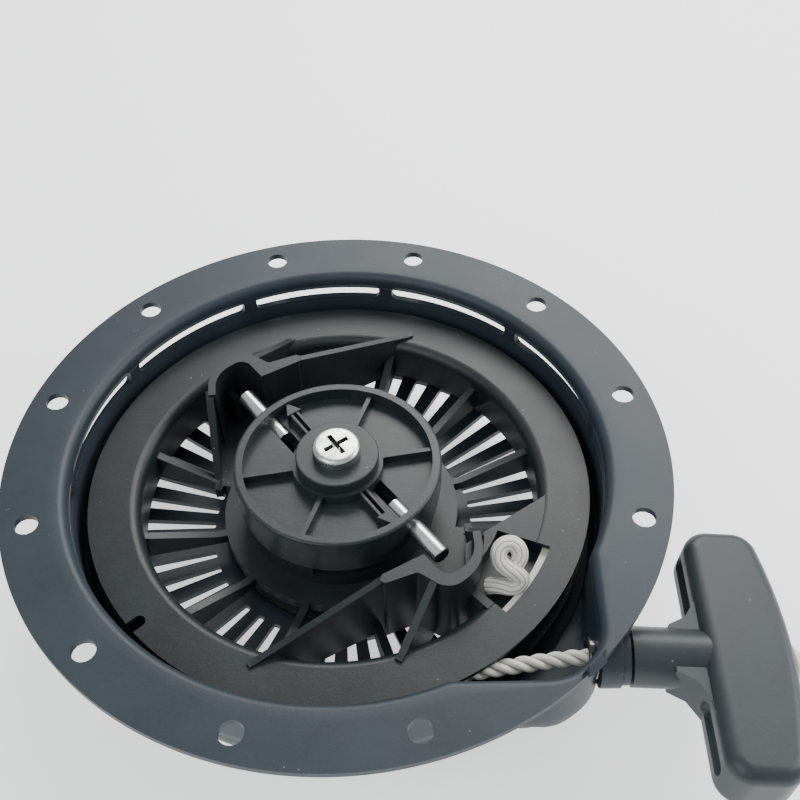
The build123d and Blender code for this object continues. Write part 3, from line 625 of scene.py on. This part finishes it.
def strand_tube(name, line, radius, turns, material, strands=3, sides=36, squeeze=0.52):
    """A rope along a line of points in millimetres. turns is the twist at each point."""
    line = np.asarray(line, float)
    ahead = np.gradient(line, axis=0)
    ahead /= np.linalg.norm(ahead, axis=1)[:, None]
    side = np.zeros_like(line)
    side[0] = np.cross(ahead[0], (0.31, 0.2, 0.93))
    side[0] /= np.linalg.norm(side[0])
    for k in range(1, len(line)):
        side[k] = side[k - 1] - ahead[k] * side[k - 1].dot(ahead[k])
        side[k] /= np.linalg.norm(side[k])
    third = np.cross(ahead, side)
    around = np.arange(sides) * 2 * pi / sides
    offset = np.abs((around * strands / (2 * pi)) % 1 - 0.5) * 2      # 1 on a strand's middle
    spread = (1 - offset) * pi / strands
    core = 1 - squeeze
    if strands > 4:
        shape = 1 - 0.11 * (1 - np.sqrt(np.clip(offset, 0, 1)))
    else:
        shape = core * np.cos(spread) + np.sqrt(np.clip(squeeze ** 2 - (core * np.sin(spread)) ** 2, 0, 1))
    # How deep each point lies in the groove between strands; it sets the painted shade there.
    groove = np.clip((1 - shape) / (1 - shape.min()), 0, 1) ** 3
    angle = around[None, :] + 2 * pi * np.asarray(turns)[:, None]
    reach = np.broadcast_to(np.asarray(radius, float), (len(line),))[:, None] * shape[None, :]
    points = line[:, None, :] + reach[:, :, None] * (np.cos(angle)[:, :, None] * side[:, None, :]
                                                     + np.sin(angle)[:, :, None] * third[:, None, :])
    count = len(line)
    faces = []
    for k in range(count - 1):
        this, after = k * sides, (k + 1) * sides
        faces += [(this + j, after + j, after + (j + 1) % sides, this + (j + 1) % sides)
                  for j in range(sides)]
    faces += [tuple(range(sides)), tuple(range(count * sides - 1, (count - 1) * sides - 1, -1))]
    mesh = bpy.data.meshes.new(name)
    mesh.from_pydata([tuple(p * MM) for p in points.reshape(-1, 3)], [], faces)
    mesh.attributes.new("groove", "FLOAT", "POINT").data.foreach_set("value", np.tile(groove, count))
    along = np.concatenate([[0], np.cumsum(np.linalg.norm(np.diff(line, axis=0), axis=1))])
    uv = mesh.uv_layers.new(name="lay")
    index = np.zeros(len(mesh.loops), int)
    mesh.loops.foreach_get("vertex_index", index)
    flat = np.stack([(index % sides) / sides, along[index // sides]], axis=1)
    uv.data.foreach_set("uv", flat.ravel())
    made = add_object(name, mesh, material, 70)
    return made


rope_white = rope_fibre("rope_white")
rope_r = 2.6
nozzle_end = 88.2
grip_start = nozzle_end + 0.5
grip_rope = 39.2                            # length of the rope inside the handle
droop = radians(6.0)
route = [(37.737, -69.418, -18.6), (69.648, pull_y, pull_z), (nozzle_end, pull_y, pull_z),
         (grip_start + grip_rope * cos(droop), pull_y, pull_z - grip_rope * sin(droop))]
route_curve = bpy.data.curves.new("rope_route", "CURVE")
route_curve.dimensions = "3D"
route_curve.resolution_u = 48
spline = route_curve.splines.new("NURBS")
spline.points.add(len(route) - 1)
for control, place in zip(spline.points, route):
    control.co = (*(c * MM for c in place), 1)
spline.order_u = 3
spline.use_endpoint_u = True
route_object = bpy.data.objects.new("rope_route", route_curve)
bpy.context.scene.collection.objects.link(route_object)
graph = bpy.context.evaluated_depsgraph_get()
route_mesh = bpy.data.meshes.new_from_object(route_object.evaluated_get(graph))
route_line = np.array([tuple(v.co / MM) for v in route_mesh.vertices])
bpy.data.objects.remove(route_object)
pulled_out = 877.5                          # how far the handle goes, in millimetres
slide_from, slide_to = 79.5, 98.5           # the hidden stretch that is drawn out
route_along = np.concatenate([[0], np.cumsum(np.linalg.norm(np.diff(route_line, axis=0), axis=1))])
fine = np.linspace(0, route_along[-1], 6000)
fine_x = np.interp(fine, route_along, route_line[:, 0])
share = np.clip((fine_x - slide_from) / (slide_to - slide_from), 0, 1)
drawn = fine + share ** 2 * (3 - 2 * share) * pulled_out
ring_step, drawn_step = 0.3, 3.6            # between the rings, at rest and drawn out
rest_lay, drawn_lay = 15, 62                # length of one turn of the strands
ring_at = np.union1d(np.arange(0, fine[-1], ring_step),
                     np.interp(np.arange(0, drawn[-1], drawn_step), drawn, fine))
ring_at = ring_at[np.concatenate([[True], np.diff(ring_at) > 2e-3])]
ring_drawn = np.interp(ring_at, fine, drawn)
ring_line = np.stack([np.interp(ring_at, route_along, route_line[:, k]) for k in range(3)], axis=1)
ring_turns = ring_at / rest_lay + (ring_drawn - ring_at) / drawn_lay
pull_rope = strand_tube("pull_rope", ring_line, rope_r, ring_turns, rope_white)
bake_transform(pull_rope, "housing", "handle", (slide_from * MM, pull_y * MM, pull_z * MM),
         (slide_to * MM, pull_y * MM, pull_z * MM))
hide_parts("rope_run", "handle_rope")


# ---- Knots ----------------------------------------------------------------------------------
# Both ends of the rope are knotted: one knot sits in a pocket of the pulley, with its strands
# side by side, and the other fills the well in the handle's outer side.
def tied(name, node, controls, centre, right, up, radius, body):
    """A knot's rope through control points given across, up and towards the eye."""
    right, up = Vector(right).normalized(), Vector(up).normalized()
    out = right.cross(up).normalized()
    up = out.cross(right)
    curve = bpy.data.curves.new(name, "CURVE")
    curve.dimensions = "3D"
    curve.resolution_u = 16
    run = curve.splines.new("NURBS")
    run.points.add(len(controls) - 1)
    for control, (a, b, c) in zip(run.points, controls):
        place = Vector(centre) + right * a + up * b + out * c
        control.co = (*place, 1)
    run.order_u = 3
    run.use_endpoint_u = True
    guide = bpy.data.objects.new(name, curve)
    bpy.context.scene.collection.objects.link(guide)
    line = bpy.data.meshes.new_from_object(guide.evaluated_get(bpy.context.evaluated_depsgraph_get()))
    line = np.array([tuple(v.co) for v in line.vertices])
    bpy.data.objects.remove(guide)
    along = np.concatenate([[0], np.cumsum(np.linalg.norm(np.diff(line, axis=0), axis=1))])
    knot_lay = 90
    knot = strand_tube(name, line, radius, along / knot_lay, rope_white, strands=9, sides=72)
    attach(knot, body)
    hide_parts(node)
    return knot


low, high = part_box("pulley_knot")
knot_centre = (low + high) / 2 / MM
eye_right, eye_up = (0.99986, -0.0035, -0.0156), (0.0130, 0.7436, 0.6686)
loop = [(3.6 * cos(radians(a)), 2.6 + 3.9 * sin(radians(a)), 0.2 + (a - 200) * 0.006)
        for a in range(200, 601, 40)]
crossing = [(1.5, -2.5, 2.8), (4.4, -5.0, 1.6), (1.5, -8.0, 0.4), (-3.5, -6.8, 0.4), (-6.2, -7.6, -1.6)]
tied("pulley_knot_tied", "pulley_knot", [(2.0, -3.0, -4.0)] + loop + crossing,
     knot_centre, eye_right, eye_up, 2.7, "pulley")
low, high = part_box("handle_knot")
knot_centre = (low + high) / 2 / MM
loop = [(3.2 * cos(radians(a)), 3.2 * sin(radians(a)), 1.0 + (a - 200) * 0.008)
        for a in range(200, 581, 40)]
tied("handle_knot_tied", "handle_knot", [(0.5, 0.0, -5.5)] + loop + [(0.5, 1.0, 4.2), (2.6, -1.8, 5.2)],
     knot_centre, (0, 1, 0), (0, 0, 1), 2.6, "handle")


# ---- Handle ---------------------------------------------------------------------------------
# A solid black T grip with soft edges. Its stem flares into the bar, and a long flute runs
# along each half of the bar's finger side.
handle_plastic = black_plastic("handle_plastic", (0.022, 0.028, 0.032), (0.034, 0.042, 0.047),
                               0.40, 0.9, 0.4, 0.05)
from_cad("handle_grip", 0.7, handle_plastic, segments=3)


# ---- Eyelet, spring and small steel parts -----------------------------------------------------
# They stay as the frame has them: a glossy ring that the rope slides through, the nylon bush,
# and the steel parts behind the pulley.
eyelet_plastic, eyelet_shader, eyelet_place = new_material("eyelet_plastic", Roughness=0.12, Coat_Weight=0.5)
feed(eyelet_shader, Base_Color=eyelet_place.noise(300).mix((0.008, 0.010, 0.012, 1), (0.02, 0.023, 0.026, 1)))
bush_plastic, bush_shader, bush_place = new_material("bush_plastic", Roughness=0.45)
feed(bush_shader, Base_Color=bush_place.noise(250).mix((0.50, 0.48, 0.40, 1), (0.62, 0.60, 0.52, 1)))
finishes = {"eyelet_plastic": eyelet_plastic, "bush_plastic": bush_plastic, "rope": rope_white,
            "steel": plated_steel("plain_steel", (0.33, 0.34, 0.35), (0.50, 0.51, 0.52), 0.34),
            "spring_steel": plated_steel("spring_steel", (0.08, 0.09, 0.12), (0.17, 0.18, 0.21), 0.36)}
for part in frame["record"]["subparts"]:
    node = frame["nodes"][part["node"]]
    if part["material_slot"] in finishes and not node.hide_render:
        for socket in node.material_slots:
            socket.material = finishes[part["material_slot"]]
